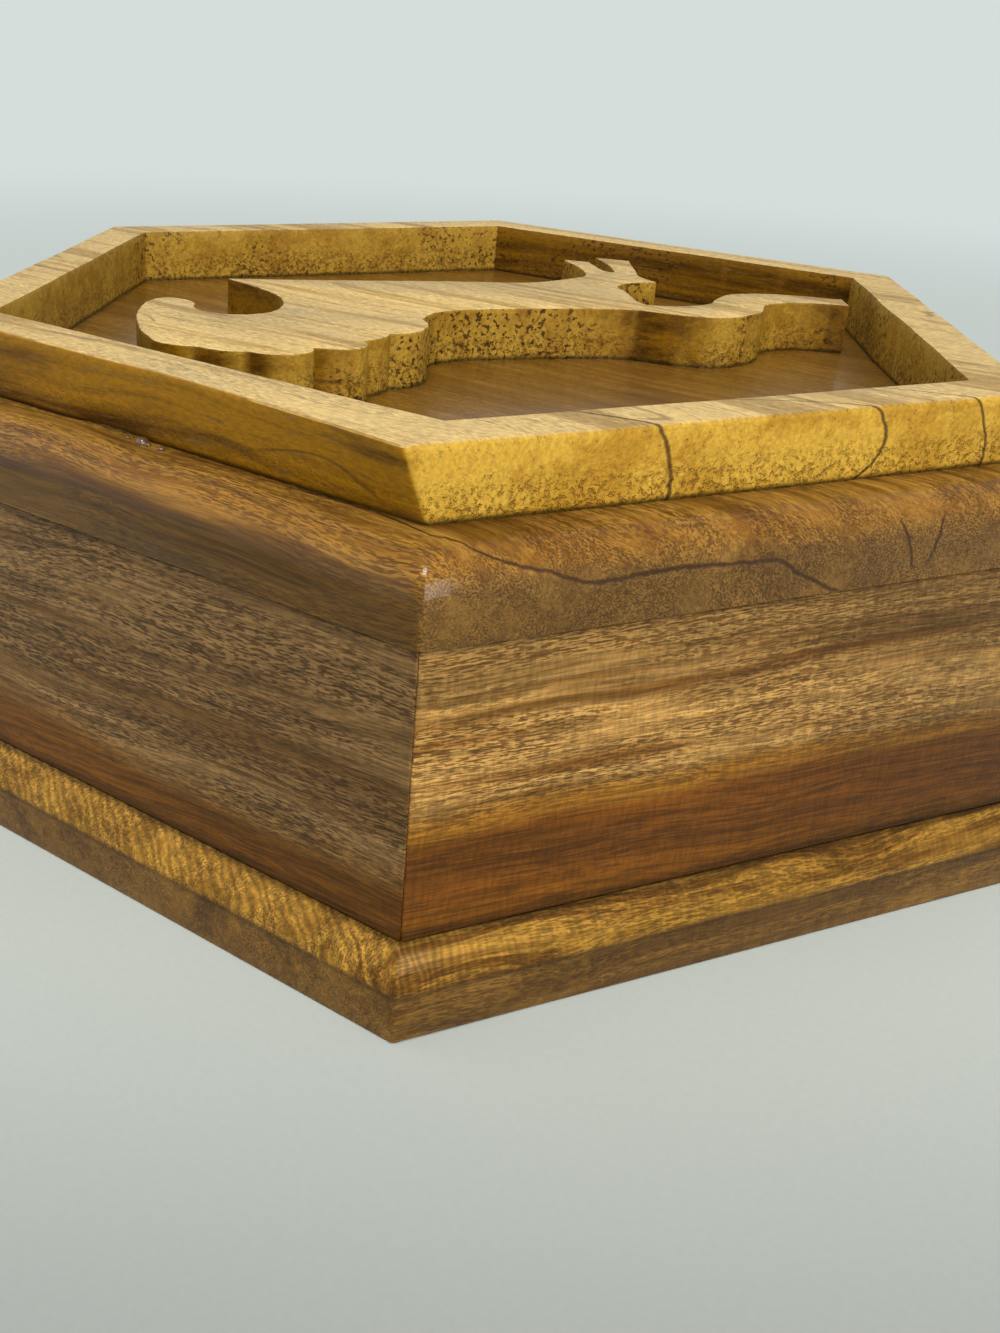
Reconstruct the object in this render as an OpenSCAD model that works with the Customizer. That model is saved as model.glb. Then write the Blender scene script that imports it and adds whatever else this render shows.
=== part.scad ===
// Hexagonal wooden dice box with a hinged lid, a raised rim and a rearing horse on the lid.
// Origin: middle of the underside. The hinge side faces +Y, two corners point along X.

/* [Walls] */
// Width of the walls across their outer flats
wall_across = 176; // [150:1:200]
// Height of the six walls
wall_h = 40.5; // [34:0.5:60]
// Thickness of each wall
wall_t = 12; // [10.5:0.5:15]

/* [Base board] */
// Thickness of the base board
base_t = 13; // [9:0.5:16]
// How far the base board stands out past the walls
base_overhang = 3.3; // [2.5:0.1:9]
// Height of the base board's upright edge below its moulding
base_crest = 7.5; // [4:0.1:8.5]
// Radius of the moulding's convex curve
moulding_r = 8; // [7.5:0.5:16]

/* [Felt] */
// Thickness of the felt on the floor
felt_t = 1.5; // [1:0.25:3]
// Gap between the felt and the walls
felt_gap = 0.3; // [0.1:0.1:1]

/* [Lid] */
// Thickness of the lid panel
lid_t = 11.5; // [11:0.5:16]
// How far the lid panel stands out past the walls
lid_overhang = 0.7; // [0.5:0.1:3]
// Radius of the round along the lid panel's upper edge
lid_round = 7; // [3:0.5:8]
// Small round along the lid panel's lower edge
lid_arris = 0.6; // [0.2:0.1:1]

/* [Rim] */
// Height of the raised rim
rim_h = 10; // [8:0.5:16]
// Width of the raised rim's band
rim_w = 8.3; // [5:0.1:12]
// How far the rim stands back from the lid panel's edge
rim_setback = 9; // [3:0.5:13]
// Round along the rim's upper edges
rim_arris = 0.7; // [0.3:0.1:1.5]

/* [Horse] */
// Thickness of the horse figure
horse_t = 8.8; // [6:0.1:14]
// Height of the horse figure, from its ears to its hooves
horse_h = 123; // [92:1:129]
// How far each lock of the mane swells past its ends
mane_swell = 0.9; // [0.3:0.1:1.5]

/* [Hinges] */
// Length of each hinge
hinge_l = 26; // [20:1:28]
// Distance of each hinge's middle from the box's middle
hinge_x = 27; // [17:1:30]
// Depth of each leaf from the panel's edge inwards
leaf_d = 9.5; // [8:0.5:10]
// Thickness of the leaves
leaf_t = 1.2; // [1:0.1:1.5]
// Gap between the two closed leaves
leaf_gap = 0.3; // [0.2:0.1:0.6]
// Outer radius of the knuckles
knuckle_r = 2.3; // [2:0.1:3]
// Radius of the pin
pin_r = 1.1; // [0.9:0.05:1.3]
// Radial clearance of the pin in the turning knuckle
pin_play = 0.05; // [0.02:0.01:0.1]
// How far the lid opens before the stop flanges meet
stop_angle = 96; // [85:1:110]
// How far the stop flanges stand out from the knuckles
stop_reach = 2.6; // [1.5:0.1:4]

/* [Screws] */
// Radius of the screw's head
screw_head_r = 2; // [1.7:0.1:2.2]
// Radius of the screw's shank
screw_r = 1; // [0.8:0.05:1.2]
// Length of the screw under the leaf
screw_l = 7; // [5:0.5:9]
// Distance between the two screws of a leaf
screw_pitch = 15; // [12:0.5:17]

/* [Hidden] */
$fn = 96;

eps = 0.01;
// Sides of the box, and a length that is past every edge
sides = 6;
side_angle = 360 / sides;
far = 400;
// Flat steps in an arc of a moulding or a round
arc_steps = 10;

wall_a = wall_across / 2;
base_a = wall_a + base_overhang;
lid_a = wall_a + lid_overhang;
rim_a = lid_a - rim_setback;
floor_z = base_t;
joint_z = base_t + wall_h;
lid_top_z = joint_z + lid_t;

// Knuckles: the pin's axis lies in the joint plane, just behind the lid's edge
swing_gap = 0.3;
side_gap = 0.2;
axis_y = lid_a + knuckle_r + swing_gap;
leaf_in_y = lid_a - leaf_d;
leaf_out_y = axis_y - knuckle_r - swing_gap;
knuckle_l = (hinge_l - 2 * side_gap) / 3;
pocket_gap = 0.1;
pocket_d = leaf_gap / 2 + leaf_t;
pin_seat_play = 0.01;
stop_t = 1.2;
stop_root = knuckle_r + swing_gap;
// The box's flange points down and back, the lid's up and back, and the two angles add up to the stop
box_stop_angle = -stop_angle * 0.6;
lid_stop_angle = stop_angle + box_stop_angle;

screw_y = leaf_in_y + (wall_a - leaf_in_y) * 0.5;
screw_play = 0.05;

// Points of an arc round c, from one angle to another
function arc(c, r, from_angle, to_angle) = [
    for (i = [0 : arc_steps])
        let (a = from_angle + (to_angle - from_angle) * i / arc_steps)
            c + r * [cos(a), sin(a)]
];

// A board's section: the profile of its right edge, from bottom to top, and its mirror image
module board_section(edge) {
    polygon(concat(edge, [for (i = [len(edge) - 1 : -1 : 0]) [-edge[i][0], edge[i][1]]]));
}

// Three sections, crossed, make a six-sided board whose moulding meets in mitres
module hex_board(edge) {
    intersection_for (turn = [0 : side_angle : 180 - side_angle])
        rotate([0, 0, turn])
            rotate([90, 0, 90])
                translate([0, 0, -far / 2])
                    linear_extrude(far)
                        board_section(edge);
}

module hex_prism(apothem, h) {
    linear_extrude(h)
        circle(r = apothem / cos(side_angle / 2), $fn = sides);
}

// Moulding centre: the arc passes through the crest and the foot of the wall
mould_chord = [base_overhang, base_t - base_crest];
mould_half = norm(mould_chord) / 2;
mould_depth = sqrt(moulding_r * moulding_r - mould_half * mould_half);
mould_in = [-mould_chord[1], -mould_chord[0]] / norm(mould_chord);
mould_c = [wall_a + base_overhang / 2, base_crest + mould_chord[1] / 2] + mould_in * mould_depth;
crest_from_c = [base_a, base_crest] - mould_c;
foot_from_c = [wall_a, base_t] - mould_c;

base_edge = concat(
    [[base_a, 0]],
    arc(mould_c, moulding_r, atan2(crest_from_c[1], crest_from_c[0]), atan2(foot_from_c[1], foot_from_c[0]))
);
lid_edge = concat(
    arc([lid_a - lid_arris, lid_arris], lid_arris, -90, 0),
    arc([lid_a - lid_round, lid_t - lid_round], lid_round, 0, 90)
);
rim_edge = concat([[rim_a, 0]], arc([rim_a - rim_arris, rim_h - rim_arris], rim_arris, 0, 90));

// The rim's opening, which flares at the top to ease the band's inner edge
inner_a = rim_a - rim_w;
opening_edge = [[inner_a, -1], [inner_a, rim_h - rim_arris], [inner_a + rim_arris + 1, rim_h + 1]];

// Horse outline, drawn upright and facing right. Each run is a smooth curve, and runs meet at sharp corners
head_run = [
    [15, 64], [22, 60], [30, 53], [36, 45], [36, 40], [31, 39],
    [26, 43], [20, 42], [17, 36], [21, 28], [29, 23], [41, 20]
];
belly_run = [[41, 20], [33, 12], [22, 0], [12, -11], [3, -20], [0, -28], [-1, -36], [4, -43], [11, -49]];
fore_hoof_run = [[11, -49], [6, -51]];
cleft_run = [[6, -51], [0, -45], [-3, -44], [1, -50], [8, -57]];
hind_hoof_run = [[8, -57], [1, -59]];
hock_run = [[1, -59], [-5, -50], [-9, -44], [-14, -41]];
rump_run = [[-14, -41], [-11, -36], [-11, -31], [-15, -27], [-20, -21], [-23, -19]];
tail_under_run = [[-23, -19], [-27, -22], [-30, -28], [-29, -34], [-29, -41], [-35, -48], [-46, -53]];
tail_end_run = [[-46, -53], [-49, -48]];
back_run = [
    [-49, -48], [-42, -44], [-38, -37], [-40, -29], [-38, -20],
    [-31, -15], [-22, -12], [-10, 1], [-2, 13], [-3, 21]
];
mane_tips = [
    [-3, 21], [-8, 28], [-6, 34], [-6, 41], [-9, 45],
    [-4, 50], [-5, 55], [1, 59], [8, 62], [15, 64]
];
curve_steps = 4;
// The outline's own height, and how much larger or smaller the figure is
drawn_h = head_run[0][1] - hind_hoof_run[1][1];
horse_scale = horse_h / drawn_h;

// Point at share t between b and c of a curve that passes through a, b, c and d
function spline_at(a, b, c, d, t) =
    b + ((c - a) * t + (2 * a - 5 * b + 4 * c - d) * t * t + (3 * b - a - 3 * c + d) * t * t * t) / 2;

function run_point(run, i) = run[max(0, min(len(run) - 1, i))];

function smooth(run) = len(run) < 3 ? [run[0]] : [
    for (i = [0 : len(run) - 2], step = [0 : curve_steps - 1])
        spline_at(run_point(run, i - 1), run[i], run[i + 1], run_point(run, i + 2), step / curve_steps)
];

// Each lock of hair is a shallow arc from one tip to the next, swelling to the left of its direction
function locks(tips) = [
    for (i = [0 : len(tips) - 2], step = [0 : curve_steps - 1])
        let (t = step / curve_steps, along = tips[i + 1] - tips[i])
        let (out = [-along[1], along[0]] / norm(along))
            tips[i] + along * t + out * mane_swell / horse_scale * 4 * t * (1 - t)
];

horse_outline = concat(
    smooth(head_run), smooth(belly_run), smooth(fore_hoof_run), smooth(cleft_run), smooth(hind_hoof_run),
    smooth(hock_run), smooth(rump_run), smooth(tail_under_run), smooth(tail_end_run), smooth(back_run),
    locks(mane_tips)
);

module at_hinge(side) {
    translate([side * hinge_x, axis_y, joint_z])
        children();
}

// Section of a leaf across the pin: the plate in its pocket and the stop flange.
// The flange's stop face lies on a plane through the pin. up is 1 for the lid's leaf and -1 for the box's
module leaf_section(up, flange_angle, plate_end, flange_start) {
    translate([leaf_in_y - axis_y, up > 0 ? leaf_gap / 2 : -leaf_gap / 2 - leaf_t])
        square([plate_end - leaf_in_y + axis_y, leaf_t]);
    rotate(flange_angle)
        translate([flange_start, up > 0 ? 0 : -stop_t])
            square([stop_root + stop_reach - flange_start, stop_t]);
}

module plain_section(up, flange_angle) {
    leaf_section(up, flange_angle, leaf_out_y - axis_y, stop_root);
}

module knuckle_section(up, flange_angle, bore_r) {
    difference() {
        union() {
            circle(r = knuckle_r);
            leaf_section(up, flange_angle, 0, pin_r);
        }
        circle(r = bore_r);
    }
}

// Draws a section along X between two places
module along_x(from_x, to_x) {
    translate([from_x, 0, 0])
        rotate([90, 0, 90])
            linear_extrude(to_x - from_x)
                children();
}

// A leaf in hinge coordinates: each knuckle's span along X, and the plain stretch that joins them
module leaf(up, knuckles, plain, flange_angle, bore_r) {
    difference() {
        union() {
            for (span = knuckles)
                along_x(span[0], span[1])
                    knuckle_section(up, flange_angle, bore_r);
            along_x(plain[0], plain[1])
                plain_section(up, flange_angle);
        }
        at_screws(up)
            screw_cut();
    }
}

// Two screws in a leaf, with local +Z pointing out of the wood
module at_screws(up) {
    for (x = [-screw_pitch / 2, screw_pitch / 2])
        translate([x, screw_y - axis_y, up * leaf_gap / 2])
            rotate([up > 0 ? 180 : 0, 0, 0])
                children();
}

sink_h = screw_head_r - screw_r;

module screw_cut() {
    translate([0, 0, -leaf_t - 1])
        cylinder(r = screw_r + screw_play, h = leaf_t + 2);
    translate([0, 0, -sink_h])
        cylinder(r1 = screw_r + screw_play, r2 = screw_head_r + screw_play, h = sink_h);
    cylinder(r = screw_head_r + screw_play, h = 1);
}

module screw() {
    translate([0, 0, -leaf_t - screw_l])
        cylinder(r = screw_r, h = leaf_t + screw_l - sink_h + eps);
    translate([0, 0, -sink_h])
        cylinder(r1 = screw_r, r2 = screw_head_r, h = sink_h);
}

module pilot() {
    translate([0, 0, -leaf_t - screw_l - 0.5])
        cylinder(r = screw_r + screw_play, h = leaf_t + screw_l + 1);
}

// The pockets and screw holes that both hinges need in a wall or in the lid
module hinge_cuts(up) {
    for (side = [-1, 1])
        at_hinge(side) {
            translate([-hinge_l / 2 - pocket_gap, leaf_in_y - axis_y - pocket_gap, up > 0 ? -1 : -pocket_d])
                cube([hinge_l + 2 * pocket_gap, leaf_d + knuckle_r + swing_gap, pocket_d + 1]);
            at_screws(up)
                pilot();
        }
}

// The box leaf has the two outer knuckles and the lid leaf the middle one
outer_knuckles = [[-hinge_l / 2, -hinge_l / 2 + knuckle_l], [hinge_l / 2 - knuckle_l, hinge_l / 2]];
outer_plain = [-(hinge_l - knuckle_l) / 2, (hinge_l - knuckle_l) / 2];
middle_knuckle = [[-knuckle_l / 2, knuckle_l / 2]];
middle_plain = [-hinge_l / 2, hinge_l / 2];

module base_board() {
    color("peru")
        hex_board(base_edge);
}

// One mitred wall, turned from the front round to its side
module wall(turn) {
    color("sienna")
        rotate([0, 0, turn * side_angle])
            translate([0, 0, floor_z])
                linear_extrude(wall_h)
                    polygon([
                        for (p = [[-1, wall_a], [1, wall_a], [1, wall_a - wall_t], [-1, wall_a - wall_t]])
                            [p[0] * p[1] * tan(side_angle / 2), -p[1]]
                    ]);
}

module wall_front() {
    wall(0);
}

module wall_front_right() {
    wall(1);
}

module wall_back_right() {
    wall(2);
}

module wall_back() {
    color("sienna")
        difference() {
            wall(3);
            hinge_cuts(-1);
        }
}

module wall_back_left() {
    wall(4);
}

module wall_front_left() {
    wall(5);
}

module floor_felt() {
    color("darkgreen")
        translate([0, 0, floor_z])
            hex_prism(wall_a - wall_t - felt_gap, felt_t);
}

module lid_panel() {
    color("chocolate")
        difference() {
            translate([0, 0, joint_z])
                hex_board(lid_edge);
            hinge_cuts(1);
        }
}

module lid_rim() {
    color("goldenrod")
        translate([0, 0, lid_top_z])
            difference() {
                hex_board(rim_edge);
                hex_board(opening_edge);
            }
}

// The horse's feet point to the hinge side, as in the photograph
module lid_horse() {
    color("khaki")
        translate([0, 0, lid_top_z])
            rotate([0, 0, 180])
                linear_extrude(horse_t)
                    scale(horse_scale)
                        polygon(horse_outline);
}

module box_leaf(side) {
    color("gold")
        at_hinge(side)
            leaf(-1, outer_knuckles, outer_plain, box_stop_angle, pin_r + pin_seat_play);
}

module lid_leaf(side) {
    color("gold")
        at_hinge(side)
            leaf(1, middle_knuckle, middle_plain, lid_stop_angle, pin_r + pin_play);
}

module pin(side) {
    color("darkgoldenrod")
        at_hinge(side)
            along_x(-hinge_l / 2 - side_gap, hinge_l / 2 + side_gap)
                circle(r = pin_r);
}

module hinge_left_box_leaf() {
    box_leaf(-1);
}

module hinge_left_lid_leaf() {
    lid_leaf(-1);
}

module hinge_left_pin() {
    pin(-1);
}

module hinge_right_box_leaf() {
    box_leaf(1);
}

module hinge_right_lid_leaf() {
    lid_leaf(1);
}

module hinge_right_pin() {
    pin(1);
}

module screws(up) {
    color("gold")
        for (side = [-1, 1])
            at_hinge(side)
                at_screws(up)
                    screw();
}

module box_screws() {
    screws(-1);
}

module lid_screws() {
    screws(1);
}

base_board();
wall_front();
wall_front_right();
wall_back_right();
wall_back();
wall_back_left();
wall_front_left();
floor_felt();
lid_panel();
lid_rim();
lid_horse();
hinge_left_box_leaf();
hinge_left_lid_leaf();
hinge_left_pin();
hinge_right_box_leaf();
hinge_right_lid_leaf();
hinge_right_pin();
box_screws();
lid_screws();
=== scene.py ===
# Six-sided wooden dice box with a hinged lid, a spalted rim and a sawn horse on the lid
import bpy
import bmesh
from math import cos, sin, tan, pi, radians, sqrt
from mathutils import Vector, Matrix, noise


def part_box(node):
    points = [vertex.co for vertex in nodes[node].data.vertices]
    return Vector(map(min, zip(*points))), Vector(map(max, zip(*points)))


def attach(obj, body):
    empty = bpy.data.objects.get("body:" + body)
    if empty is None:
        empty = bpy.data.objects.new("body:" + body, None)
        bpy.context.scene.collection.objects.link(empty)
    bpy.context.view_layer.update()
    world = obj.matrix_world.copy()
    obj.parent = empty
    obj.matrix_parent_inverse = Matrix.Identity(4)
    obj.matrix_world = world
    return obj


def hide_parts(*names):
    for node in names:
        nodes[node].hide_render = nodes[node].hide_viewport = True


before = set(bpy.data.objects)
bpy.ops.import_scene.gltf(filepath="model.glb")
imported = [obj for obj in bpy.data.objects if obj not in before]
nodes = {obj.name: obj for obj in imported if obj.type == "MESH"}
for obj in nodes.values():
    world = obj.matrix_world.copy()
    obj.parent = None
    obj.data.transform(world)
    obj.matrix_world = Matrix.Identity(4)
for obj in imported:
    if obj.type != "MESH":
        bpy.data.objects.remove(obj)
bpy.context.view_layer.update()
mm, perMetre = 0.001, 1000

# Sizes in millimetres, the same as the CAD source's
box = dict(base=91.3, crest=7.5, foot=13, wall=88, wallThickness=12, joint=53.5, lid=88.7, lidTop=65, rim=79.7,
           rimWidth=8.3, rimTop=75)


# Node writing: each call places one node and gives back its output

def feed(tree, node, inputs):
    # links a socket's value or sets it, by the socket's name or number
    for socket, value in inputs.items():
        if isinstance(value, bpy.types.NodeSocket):
            tree.links.new(value, node.inputs[socket])
        elif value is not None:
            node.inputs[socket].default_value = value


def put(tree, kind, inputs, out=0, **settings):
    node = tree.nodes.new(kind)
    for name, value in settings.items():
        setattr(node, name, value)
    feed(tree, node, inputs)
    return node.outputs[out]


def calc(tree, operation, a, b=None, c=None):
    return put(tree, "ShaderNodeMath", {0: a, 1: b, 2: c}, operation=operation)


def times(tree, a, b):
    return calc(tree, "MULTIPLY", a, b)


def minus(tree, a, b):
    return calc(tree, "SUBTRACT", a, b)


def vec(tree, operation, a, b=None, out=0):
    return put(tree, "ShaderNodeVectorMath", {0: a, 1: b}, out, operation=operation)


def remap(tree, value, low, high, toLow=0.0, toHigh=1.0):
    return put(tree, "ShaderNodeMapRange", {0: value, 1: low, 2: high, 3: toLow, 4: toHigh},
               interpolation_type="SMOOTHSTEP")


def noiseAt(tree, vector, scale, detail=2.0, roughness=0.5, distortion=0.0, out="Fac"):
    # scale says how closely the noise is drawn together along X, Y and Z, and None leaves it as it is
    place = stretch(tree, vector, *scale) if scale else vector
    return put(tree, "ShaderNodeTexNoise", {"Vector": place, "Scale": 1.0, "Detail": detail, "Roughness": roughness,
               "Distortion": distortion}, out)


def stretch(tree, vector, x, y, z):
    return vec(tree, "MULTIPLY", vector, (x, y, z))


def mixTo(tree, factor, a, b):
    asColour = lambda c: (*c, 1.0) if isinstance(c, tuple) else c
    return put(tree, "ShaderNodeMix", {0: factor, 6: asColour(a), 7: asColour(b)}, 2, data_type="RGBA")


def mixNumber(tree, factor, a, b):
    return put(tree, "ShaderNodeMix", {0: factor, 2: a, 3: b}, data_type="FLOAT")


def tint(tree, colour, amount):
    # makes a colour or a place larger or smaller by a number that may change over the surface
    return put(tree, "ShaderNodeVectorMath", {0: colour, "Scale": amount}, operation="SCALE")


def splitUp(tree, vector):
    return put(tree, "ShaderNodeSeparateXYZ", {0: vector}).node.outputs


def newGroup(name, inputs, outputs):
    tree = bpy.data.node_groups.new(name, "ShaderNodeTree")
    for label, value in inputs.items():
        kind = "NodeSocketVector" if value is None else "NodeSocketFloat"
        socket = tree.interface.new_socket(name=label, in_out="INPUT", socket_type=kind)
        if value is not None:
            socket.default_value = value
    for label in outputs:
        kind = "NodeSocketVector" if label == "Vector" else "NodeSocketFloat"
        tree.interface.new_socket(name=label, in_out="OUTPUT", socket_type=kind)
    return tree, tree.nodes.new("NodeGroupInput").outputs, tree.nodes.new("NodeGroupOutput").inputs


def giveOut(tree, result, **values):
    for name, value in values.items():
        tree.links.new(value, result[name])
    return tree


def useGroup(tree, group, **inputs):
    node = tree.nodes.new("ShaderNodeGroup")
    node.node_tree = group
    feed(tree, node, inputs)
    return node.outputs


# Shared effects

def makeBoardSpace():
    # object place in millimetres, turned so that X runs along the grain
    tree, given, result = newGroup("boardSpace", dict(Vector=None, Turn=0.0, Shift=0.0), ["Vector"])
    turned = put(tree, "ShaderNodeVectorRotate", {"Vector": given["Vector"], "Angle": given["Turn"]},
                 rotation_type="Z_AXIS")
    board = vec(tree, "ADD", stretch(tree, turned, perMetre, perMetre, perMetre), given["Shift"])
    return giveOut(tree, result, Vector=board)


def makeGrain():
    # broad growth bands, narrow streaks, fine fibres, short dark pores and flecks
    tree, given, result = newGroup("grain", dict(Vector=None, Waviness=4.0, Fineness=1.0),
                                   ["Bands", "Streaks", "Fibres", "Pores", "Flecks"])
    drift = noiseAt(tree, given["Vector"], (1 / 70, 1 / 26, 1 / 26), 2, 0.5, 0, "Color")
    drift = tint(tree, vec(tree, "SUBTRACT", drift, (0.5, 0.5, 0.5)), given["Waviness"])
    place = vec(tree, "ADD", given["Vector"], stretch(tree, drift, 0.2, 2, 2))
    fine = tint(tree, place, given["Fineness"])
    bands = noiseAt(tree, place, (1 / 150, 1 / 8, 1 / 8), 3, 0.55)
    streaks = noiseAt(tree, place, (1 / 70, 1 / 1.8, 1 / 1.8), 3, 0.6)
    coarse = noiseAt(tree, fine, (1 / 20, 1.4, 1.4), 2, 0.6)
    thin = noiseAt(tree, fine, (1 / 8, 3.6, 3.6), 2, 0.6)
    fibres = times(tree, calc(tree, "ADD", coarse, thin), 0.5)
    dashes = noiseAt(tree, fine, (1 / 1.6, 4.3, 4.3), 1, 0.5)
    crowd = calc(tree, "ADD", noiseAt(tree, place, (1 / 26, 1 / 5, 1 / 5), 2, 0.5),
                 calc(tree, "MULTIPLY_ADD", streaks, 0.4, -0.2))
    pores = times(tree, remap(tree, dashes, 0.48, 0.58), remap(tree, crowd, 0.22, 0.58))
    flecks = noiseAt(tree, fine, (1 / 1.4, 1.7, 1.7), 2, 0.65)
    return giveOut(tree, result, Bands=bands, Streaks=streaks, Fibres=fibres, Pores=pores, Flecks=flecks)


def makeRipple():
    # curly figure: short ripples across the grain that shift from streak to streak
    tree, given, result = newGroup("ripple", dict(Vector=None, Spacing=1.2, Length=5.0, Bend=1.0), ["Ripple"])
    parts = splitUp(tree, given["Vector"])
    along = calc(tree, "DIVIDE", parts[0], given["Spacing"])
    acrossY, acrossZ = (calc(tree, "DIVIDE", part, given["Length"]) for part in parts[1:])
    bent = times(tree, given["Bend"], noiseAt(tree, given["Vector"], (0.05, 0.22, 0.22), 2))
    place = put(tree, "ShaderNodeCombineXYZ", {0: calc(tree, "ADD", along, bent), 1: acrossY, 2: acrossZ})
    return giveOut(tree, result, Ripple=noiseAt(tree, place, None, 1, 0.5))


def makeHexPlace():
    # distance from the box's upright axis to the nearest side, and the height; then for the right front side
    # the place along it and the distance toward it
    tree, given, result = newGroup("hexPlace", dict(Vector=None), ["Reach", "Height", "Along", "Outward"])
    across = lambda x, y, z: vec(tree, "DOT_PRODUCT", given["Vector"], (x, y, z), "Value")
    reach = 0.0
    for turn in (-30, 30, 90):
        side = across(perMetre * cos(radians(turn)), perMetre * sin(radians(turn)), 0)
        reach = calc(tree, "MAXIMUM", reach, calc(tree, "ABSOLUTE", side))
    return giveOut(tree, result, Reach=reach, Height=across(0, 0, perMetre), Along=across(500, 866.0254, 0),
                   Outward=across(866.0254, -500, 0))


def makeDarkLine():
    # one thin wandering line, as a fungus draws in spalted wood
    tree, given, result = newGroup(
        "darkLine", dict(Along=0.0, Down=0.0, Place=0.0, Lean=0.0, Bend=0.0, Thickness=0.35, Wander=1.0), ["Line"])
    swing = times(tree, given["Down"], given["Lean"])
    curve = times(tree, times(tree, given["Down"], given["Down"]), given["Bend"])
    seed = put(tree, "ShaderNodeCombineXYZ", {0: times(tree, given["Down"], 0.45), 1: given["Place"]})
    shake = times(tree, minus(tree, noiseAt(tree, seed, None, 3, 0.6), 0.5), given["Wander"])
    middle = calc(tree, "ADD", calc(tree, "ADD", given["Place"], swing), calc(tree, "ADD", curve, shake))
    off = calc(tree, "ABSOLUTE", minus(tree, given["Along"], middle))
    return giveOut(tree, result, Line=remap(tree, calc(tree, "DIVIDE", off, given["Thickness"]), 1.0, 0.2))


def makeZoneLines():
    # closed wandering lines where a slow noise crosses its middle
    tree, given, result = newGroup("zoneLines", dict(Vector=None, Size=30.0, Thickness=0.01, Level=0.5), ["Line"])
    place = tint(tree, given["Vector"], calc(tree, "DIVIDE", 1.0, given["Size"]))
    field = noiseAt(tree, place, (0.35, 1, 1), 3, 0.45)
    off = calc(tree, "ABSOLUTE", minus(tree, field, given["Level"]))
    return giveOut(tree, result, Line=remap(tree, calc(tree, "DIVIDE", off, given["Thickness"]), 1.0, 0.25))


boardSpace = makeBoardSpace()
grain = makeGrain()
ripple = makeRipple()
hexPlace = makeHexPlace()
darkLine = makeDarkLine()
zoneLines = makeZoneLines()
print("effects: board space, grain, ripple, hexagon place, dark line and zone lines")


# Materials

def startMaterial(name, turn=0.0, shift=0.0):
    material = bpy.data.materials.new(name)
    material.use_nodes = True
    tree = material.node_tree
    place = tree.nodes.new("ShaderNodeTexCoord").outputs["Object"]
    board = useGroup(tree, boardSpace, Vector=place, Turn=radians(turn), Shift=shift)["Vector"]
    return material, tree, tree.nodes["Principled BSDF"], board


def coordsOf(tree):
    return tree.nodes["Texture Coordinate"].outputs


def hexOf(tree):
    return useGroup(tree, hexPlace, Vector=coordsOf(tree)["Object"])


def scaled(colour, amount):
    return tuple(c * amount for c in colour)


def addBump(tree, shader, heightMap, depth, strength=1.0):
    bump = put(tree, "ShaderNodeBump", {"Height": heightMap, "Strength": strength, "Distance": depth * mm})
    tree.links.new(bump, shader.inputs["Normal"])


def finishSurface(tree, shader, colour, flecks, heightMap, look):
    addBump(tree, shader, heightMap, look["depth"])
    feed(tree, shader, {"Base Color": colour, "Roughness": remap(tree, flecks, 0.2, 0.8, *look["roughness"]),
         "Specular IOR Level": 0.18, "Specular Tint": (1.0, 0.80, 0.50, 1.0), "Coat Weight": look["coat"],
         "Coat Roughness": look["coatRoughness"]})


def sumOf(tree, *pairs):
    total = None
    for value, weight in pairs:
        part = times(tree, value, weight)
        total = part if total is None else calc(tree, "ADD", total, part)
    return total


def downFrom(tree, top, height, edge, reach):
    # depth down a side below its upper edge, less than nothing on the top face
    return minus(tree, minus(tree, top, height), minus(tree, edge, reach))


# How each wall's board looks: foot is the height of the darker streak above the base, glow the strength of the
# orange above it and curl that of the curly figure
wallLooks = {
    "wall_front": dict(
        turn=0, shift=3, light=(0.225, 0.125, 0.043), dark=(0.115, 0.056, 0.014), slant=2.5, pore=(0.04, 0.017, 0.005),
        foot=10, footColour=(0.085, 0.029, 0.001), glow=0.3, curl=0.2),
    "wall_front_right": dict(
        turn=60, shift=57, light=(0.36, 0.20, 0.055), dark=(0.15, 0.063, 0.01), slant=-1, pore=(0.10, 0.038, 0.007),
        foot=16, footColour=(0.10, 0.031, 0.002), glow=1, curl=0.5),
    "wall_back_right": dict(
        turn=120, shift=131, light=(0.30, 0.165, 0.05), dark=(0.15, 0.07, 0.016), slant=3, pore=(0.06, 0.023, 0.006),
        foot=11, footColour=(0.12, 0.043, 0.006), glow=0.7, curl=0.6),
    "wall_back": dict(
        turn=180, shift=203, light=(0.26, 0.15, 0.052), dark=(0.13, 0.066, 0.018), slant=-4,
        pore=(0.045, 0.018, 0.005), foot=7, footColour=(0.12, 0.046, 0.007), glow=0.2, curl=0.3),
    "wall_back_left": dict(
        turn=240, shift=277, light=(0.32, 0.175, 0.054), dark=(0.15, 0.07, 0.017), slant=2, pore=(0.065, 0.025, 0.006),
        foot=14, footColour=(0.12, 0.043, 0.006), glow=0.8, curl=0.8),
    "wall_front_left": dict(
        turn=300, shift=359, light=(0.28, 0.155, 0.052), dark=(0.115, 0.055, 0.013), slant=5,
        pore=(0.035, 0.014, 0.004), foot=9, footColour=(0.12, 0.046, 0.008), glow=0.1, curl=0.25),
}


# What all six walls share: ember is the streak's colour at the foot, edge that of its upper edge
wallSurface = dict(ember=(0.15, 0.05, 0.002), edge=(0.25, 0.10, 0.005), roughness=(0.34, 0.52), depth=0.09, coat=0.12,
                   coatRoughness=0.2)


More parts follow.
